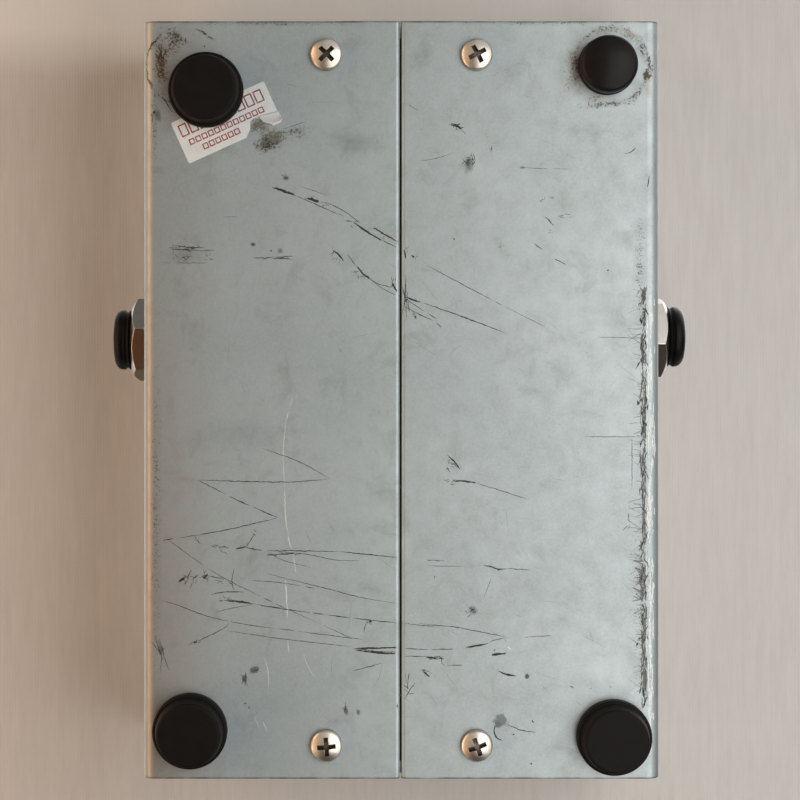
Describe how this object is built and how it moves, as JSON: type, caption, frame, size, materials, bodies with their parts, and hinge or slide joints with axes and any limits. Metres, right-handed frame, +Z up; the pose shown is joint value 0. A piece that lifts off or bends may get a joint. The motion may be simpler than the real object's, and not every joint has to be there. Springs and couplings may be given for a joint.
{
  "type": "direct injection box",
  "caption": "Shallow sheet-metal audio box on stick-on rubber feet, with side jack sockets, a male three-pin output connector and slide switches.",
  "frame": {"origin": "on the surface it stands on, under the middle of the case", "axes": "+Z up, +Y towards the output connector at the rear, +X towards the input jack"},
  "size_m": [0.1122, 0.1446, 0.0505],
  "materials": {
    "case_finish": "smooth pale grey, satin, scratched",
    "plate_finish": "smooth grey, satin",
    "screw_nickel": "nickel plated, slightly tarnished",
    "foot_rubber": "matte black rubber",
    "spare_foot_rubber": "glossy black rubber",
    "foot_adhesive": "double-sided foam tape",
    "label_paper": "white paper with plain red rules",
    "jack_plastic": "glossy black moulding",
    "contact_brass": "sprung brass",
    "jack_plating": "polished nickel plating",
    "xlr_plating": "satin nickel on die casting",
    "xlr_insert_plastic": "matte black moulding",
    "xlr_pin_plating": "silver plated pins",
    "zinc_steel": "zinc plated steel",
    "rivet_aluminium": "plain aluminium",
    "switch_knob_plastic": "black moulded plastic",
    "switch_base_board": "brown phenolic sheet",
    "tinned_copper": "tinned copper",
    "board_laminate": "green coated laminate",
    "post_nylon": "natural nylon",
    "resistor_lacquer": "tan lacquer",
    "capacitor_case": "red moulded case",
    "core_iron": "varnished steel laminations",
    "bobbin_nylon": "natural nylon moulding",
    "winding_tape": "yellow winding tape",
    "wire_red": "red insulation",
    "wire_blue": "blue insulation",
    "wire_white": "white insulation",
    "wire_green": "green insulation",
    "wire_yellow": "yellow insulation"
  },
  "bodies": {
    "case": {"board_brackets": "zinc_steel", "board_nuts": "zinc_steel", "board_posts": "post_nylon", "board_rivets": "rivet_aluminium", "board_screws": "zinc_steel", "case_screws": "screw_nickel", "circuit_board": "board_laminate", "filter_capacitor": "capacitor_case", "foot_adhesive_pads": "foot_adhesive", "foot_front_left": "foot_rubber", "foot_front_right": "foot_rubber", "foot_rear_left": "spare_foot_rubber", "foot_rear_right": "foot_rubber", "front_plate": "plate_finish", "ground_switch_base": "switch_base_board", "ground_switch_bracket": "zinc_steel", "ground_switch_nuts": "zinc_steel", "ground_switch_pins": "tinned_copper", "ground_switch_screws": "screw_nickel", "ground_switch_wires": "wire_green", "input_jack_body": "jack_plastic", "input_jack_contacts": "contact_brass", "input_jack_nut": "jack_plating", "input_jack_washer": "jack_plating", "input_wires": "wire_red", "inspection_label": "label_paper", "link_jack_body": "jack_plastic", "link_jack_contacts": "contact_brass", "link_jack_nut": "jack_plating", "link_jack_washer": "jack_plating", "link_wires": "wire_blue", "output_wires": "wire_white", "pad_resistors": "resistor_lacquer", "pad_switch_base": "switch_base_board", "pad_switch_bracket": "zinc_steel", "pad_switch_nuts": "zinc_steel", "pad_switch_pins": "tinned_copper", "pad_switch_screws": "screw_nickel", "pad_switch_wires": "wire_yellow", "rear_plate": "plate_finish", "sleeve": "case_finish", "transformer_bobbin": "bobbin_nylon", "transformer_core": "core_iron", "transformer_leads": "tinned_copper", "transformer_nuts": "zinc_steel", "transformer_screws": "zinc_steel", "transformer_strap": "zinc_steel", "transformer_winding": "winding_tape", "xlr_insert": "xlr_insert_plastic", "xlr_nuts": "zinc_steel", "xlr_pins": "xlr_pin_plating", "xlr_screws": "screw_nickel", "xlr_shell": "xlr_plating"},
    "ground_knob": {"ground_switch_knob": "switch_knob_plastic", "ground_switch_wiper": "contact_brass"},
    "pad_knob": {"pad_switch_knob": "switch_knob_plastic", "pad_switch_wiper": "contact_brass"}
  },
  "joints": [
    {"name": "ground_switch_slide", "type": "slide", "parent": "case", "child": "ground_knob", "axis": [-1, 0, 0], "range_m": [0, 0.0035]},
    {"name": "pad_switch_slide", "type": "slide", "parent": "case", "child": "pad_knob", "axis": [1, 0, 0], "range_m": [0, 0.0035]}
  ]
}
